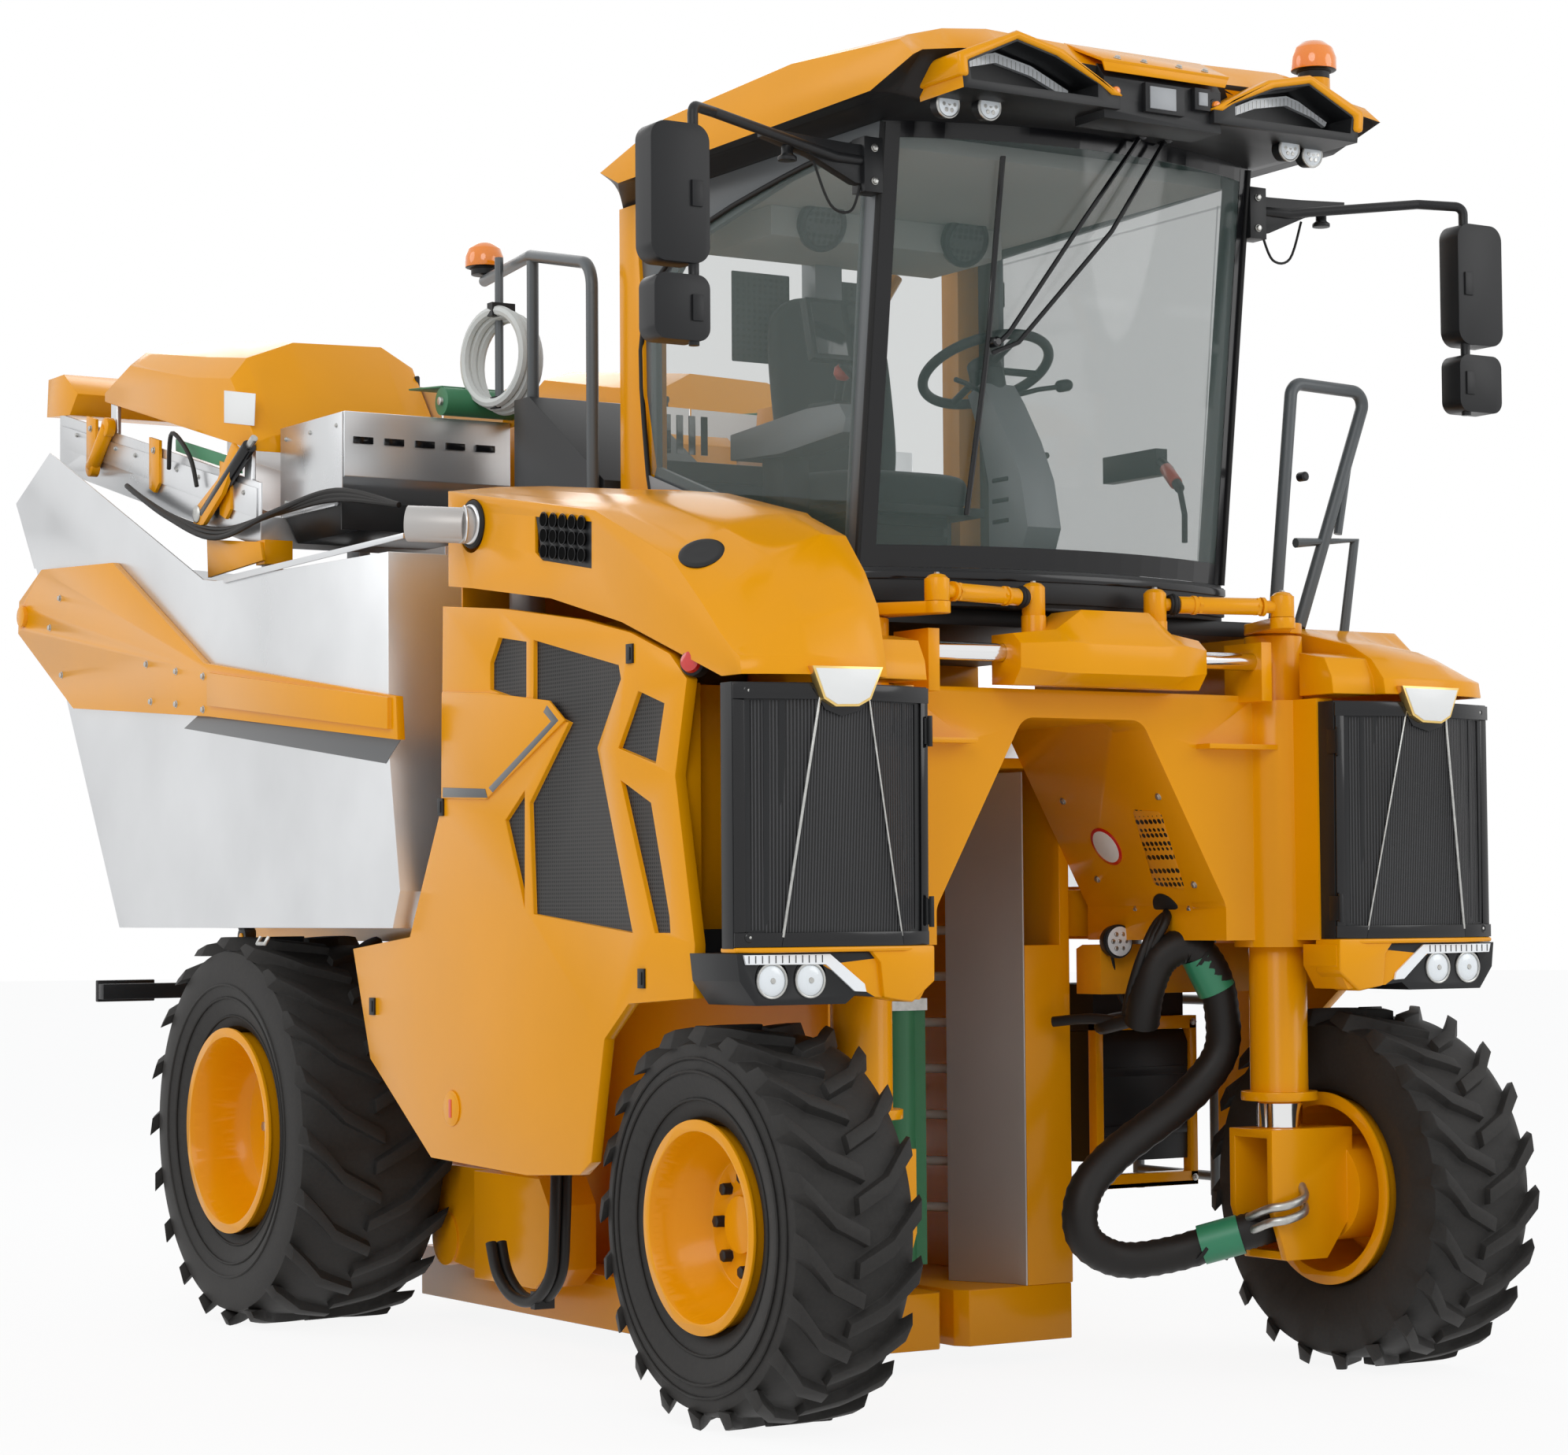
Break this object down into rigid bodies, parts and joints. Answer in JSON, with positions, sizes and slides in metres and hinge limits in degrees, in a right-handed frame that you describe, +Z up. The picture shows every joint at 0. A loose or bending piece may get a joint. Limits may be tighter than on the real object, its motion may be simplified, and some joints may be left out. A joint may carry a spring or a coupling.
{
  "type": "straddle grape harvester",
  "caption": "Over-the-row grape harvester with a picking head between steered legs, a cab, side bins that tip rearward and sorting tables above them.",
  "frame": {"origin": "on the ground under the middle of the machine's outer box", "axes": "+Z up, +Y to the rear along the row, +X to the machine's left"},
  "size_m": [2.926, 5.369, 3.8053],
  "materials": {
    "yellow": "gloss",
    "grey_frame": "satin",
    "stainless": "satin",
    "chrome": "polished",
    "tyre": "matte",
    "black_plastic": "matte",
    "glass": "clear",
    "green_belt": "matte",
    "seat_fabric": "woven",
    "rod_plastic": "satin",
    "engine_iron": "matte",
    "amber": "gloss"
  },
  "bodies": {
    "chassis": {"front_portal": "yellow", "main_frame": "yellow", "rear_arms": "yellow", "rear_frame": "yellow", "right_hood": "yellow", "left_hood": "yellow", "corner_panels": "yellow", "leg_housings": "yellow", "cab_roof": "yellow", "head_walls": "yellow", "head_roof": "yellow", "steer_through_rod": "chrome", "rear_light_bar": "black_plastic", "headlamp_units": "black_plastic", "mirrors": "black_plastic", "cab_platform": "black_plastic", "steering_column": "black_plastic", "cab_frame": "grey_frame", "windshield": "glass", "cab_glass_right": "glass", "seat": "seat_fabric", "exhaust": "stainless", "foot_conveyors": "green_belt", "engine": "engine_iron", "elevators": "yellow", "entry_plates": "stainless", "rails_and_ladder": "grey_frame", "beacons": "amber"},
    "steering_slide": {"steer_cover": "yellow"},
    "cab_door": {"cab_door": "glass"},
    "leg_left": {"fork_left": "yellow"},
    "front_wheel_left": {"front_tyre_left": "tyre", "front_rim_left": "yellow"},
    "rear_wheel_left": {"rear_tyre_left": "tyre", "rear_rim_left": "yellow"},
    "tie_rod_left": {"tie_rod_left": "yellow"},
    "bin_left": {"bin_left": "stainless", "bin_arm_left": "yellow", "sorting_table_left": "stainless"},
    "sorter_lid_left": {"sorter_lid_left": "yellow"},
    "tip_barrel_left": {"tip_barrel_left": "black_plastic"},
    "tip_rod_left": {"tip_rod_left": "chrome"},
    "side_door_left": {"side_door_left": "yellow"},
    "front_grille_left": {"front_grille_left": "black_plastic"},
    "shaker_left": {"shaker_left": "rod_plastic"},
    "leg_right": {"fork_right": "yellow"},
    "front_wheel_right": {"front_tyre_right": "tyre", "front_rim_right": "yellow"},
    "rear_wheel_right": {"rear_tyre_right": "tyre", "rear_rim_right": "yellow"},
    "tie_rod_right": {"tie_rod_right": "yellow"},
    "bin_right": {"bin_right": "stainless", "bin_arm_right": "yellow", "sorting_table_right": "stainless"},
    "sorter_lid_right": {"sorter_lid_right": "yellow"},
    "tip_barrel_right": {"tip_barrel_right": "black_plastic"},
    "tip_rod_right": {"tip_rod_right": "chrome"},
    "side_door_right": {"side_door_right": "yellow"},
    "front_grille_right": {"front_grille_right": "black_plastic"},
    "shaker_right": {"shaker_right": "rod_plastic"}
  },
  "joints": [
    {"name": "steering_slide", "type": "slide", "parent": "chassis", "child": "steering_slide", "axis": [1, 0, 0], "range_m": [-0.135, 0.135]},
    {"name": "steer_left", "type": "hinge", "parent": "chassis", "child": "leg_left", "pos_m": [0.72, -2.165, 0.7], "axis": [0, 0, 1], "range_deg": [-45, 45]},
    {"name": "front_spin_left", "type": "hinge", "parent": "leg_left", "child": "front_wheel_left", "pos_m": [1.055, -2.165, 0.52], "axis": [1, 0, 0], "continuous": true},
    {"name": "rear_spin_left", "type": "hinge", "parent": "chassis", "child": "rear_wheel_left", "pos_m": [1.03, 0.74, 0.63], "axis": [1, 0, 0], "continuous": true},
    {"name": "tie_rod_left", "type": "hinge", "parent": "steering_slide", "child": "tie_rod_left", "pos_m": [0.21, -2.265, 2.18], "axis": [0, 0, 1], "range_deg": [-12, 12]},
    {"name": "bin_tip_left", "type": "hinge", "parent": "chassis", "child": "bin_left", "pos_m": [0.76, 2.525, 2.44], "axis": [-1, 0, 0], "range_deg": [0, 90]},
    {"name": "tip_barrel_left", "type": "hinge", "parent": "chassis", "child": "tip_barrel_left", "pos_m": [0.709, 1.885, 1.25], "axis": [-1, 0, 0], "range_deg": [-4, 4]},
    {"name": "tip_rod_left", "type": "slide", "parent": "tip_barrel_left", "child": "tip_rod_left", "axis": [0, 0.1445, 0.9895], "range_m": [0, 0.83]},
    {"name": "sorter_lid_left", "type": "hinge", "parent": "bin_left", "child": "sorter_lid_left", "pos_m": [0.5, 1.235, 2.95], "axis": [0, -1, 0], "range_deg": [0, 70]},
    {"name": "side_door_left", "type": "hinge", "parent": "chassis", "child": "side_door_left", "pos_m": [1.26, -2.145, 1.3], "axis": [0, 0, -1], "range_deg": [0, 85]},
    {"name": "front_grille_left", "type": "hinge", "parent": "chassis", "child": "front_grille_left", "pos_m": [0.696, -2.445, 1.58], "axis": [0, 0, -1], "range_deg": [0, 85]},
    {"name": "shaker_left", "type": "hinge", "parent": "chassis", "child": "shaker_left", "pos_m": [0.32, -1.265, 0.9], "axis": [0, 0, 1], "range_deg": [-2.5, 2.5]},
    {"name": "steer_right", "type": "hinge", "parent": "chassis", "child": "leg_right", "pos_m": [-0.72, -2.165, 0.7], "axis": [0, 0, 1], "range_deg": [-45, 45]},
    {"name": "front_spin_right", "type": "hinge", "parent": "leg_right", "child": "front_wheel_right", "pos_m": [-1.055, -2.165, 0.52], "axis": [1, 0, 0], "continuous": true},
    {"name": "rear_spin_right", "type": "hinge", "parent": "chassis", "child": "rear_wheel_right", "pos_m": [-1.03, 0.74, 0.63], "axis": [1, 0, 0], "continuous": true},
    {"name": "tie_rod_right", "type": "hinge", "parent": "steering_slide", "child": "tie_rod_right", "pos_m": [-0.21, -2.265, 2.18], "axis": [0, 0, 1], "range_deg": [-12, 12]},
    {"name": "bin_tip_right", "type": "hinge", "parent": "chassis", "child": "bin_right", "pos_m": [-0.76, 2.525, 2.44], "axis": [-1, 0, 0], "range_deg": [0, 90]},
    {"name": "tip_barrel_right", "type": "hinge", "parent": "chassis", "child": "tip_barrel_right", "pos_m": [-0.709, 1.885, 1.25], "axis": [-1, 0, 0], "range_deg": [-4, 4]},
    {"name": "tip_rod_right", "type": "slide", "parent": "tip_barrel_right", "child": "tip_rod_right", "axis": [0, 0.1445, 0.9895], "range_m": [0, 0.83]},
    {"name": "sorter_lid_right", "type": "hinge", "parent": "bin_right", "child": "sorter_lid_right", "pos_m": [-0.5, 1.235, 2.95], "axis": [0, 1, 0], "range_deg": [0, 70]},
    {"name": "side_door_right", "type": "hinge", "parent": "chassis", "child": "side_door_right", "pos_m": [-1.26, -2.145, 1.3], "axis": [0, 0, 1], "range_deg": [0, 85]},
    {"name": "front_grille_right", "type": "hinge", "parent": "chassis", "child": "front_grille_right", "pos_m": [-0.696, -2.445, 1.58], "axis": [0, 0, 1], "range_deg": [0, 85]},
    {"name": "shaker_right", "type": "hinge", "parent": "chassis", "child": "shaker_right", "pos_m": [-0.32, -1.265, 0.9], "axis": [0, 0, 1], "range_deg": [-2.5, 2.5]},
    {"name": "cab_door", "type": "hinge", "parent": "chassis", "child": "cab_door", "pos_m": [0.676, -0.855, 2.8], "axis": [0, 0, 1], "range_deg": [0, 80]}
  ],
  "couplings": [
    {"joint": "steering_slide", "follows": "steer_left", "m_per_rad": 0.17},
    {"joint": "tip_barrel_left", "follows": "bin_tip_left", "ratio": 0.03},
    {"joint": "tip_rod_left", "follows": "bin_tip_left", "m_per_rad": 0.523},
    {"joint": "tie_rod_left", "follows": "steer_left", "ratio": -0.263},
    {"joint": "tip_barrel_right", "follows": "bin_tip_right", "ratio": 0.03},
    {"joint": "tip_rod_right", "follows": "bin_tip_right", "m_per_rad": 0.523},
    {"joint": "tie_rod_right", "follows": "steer_left", "ratio": -0.263},
    {"joint": "steer_right", "follows": "steer_left", "ratio": 1}
  ]
}
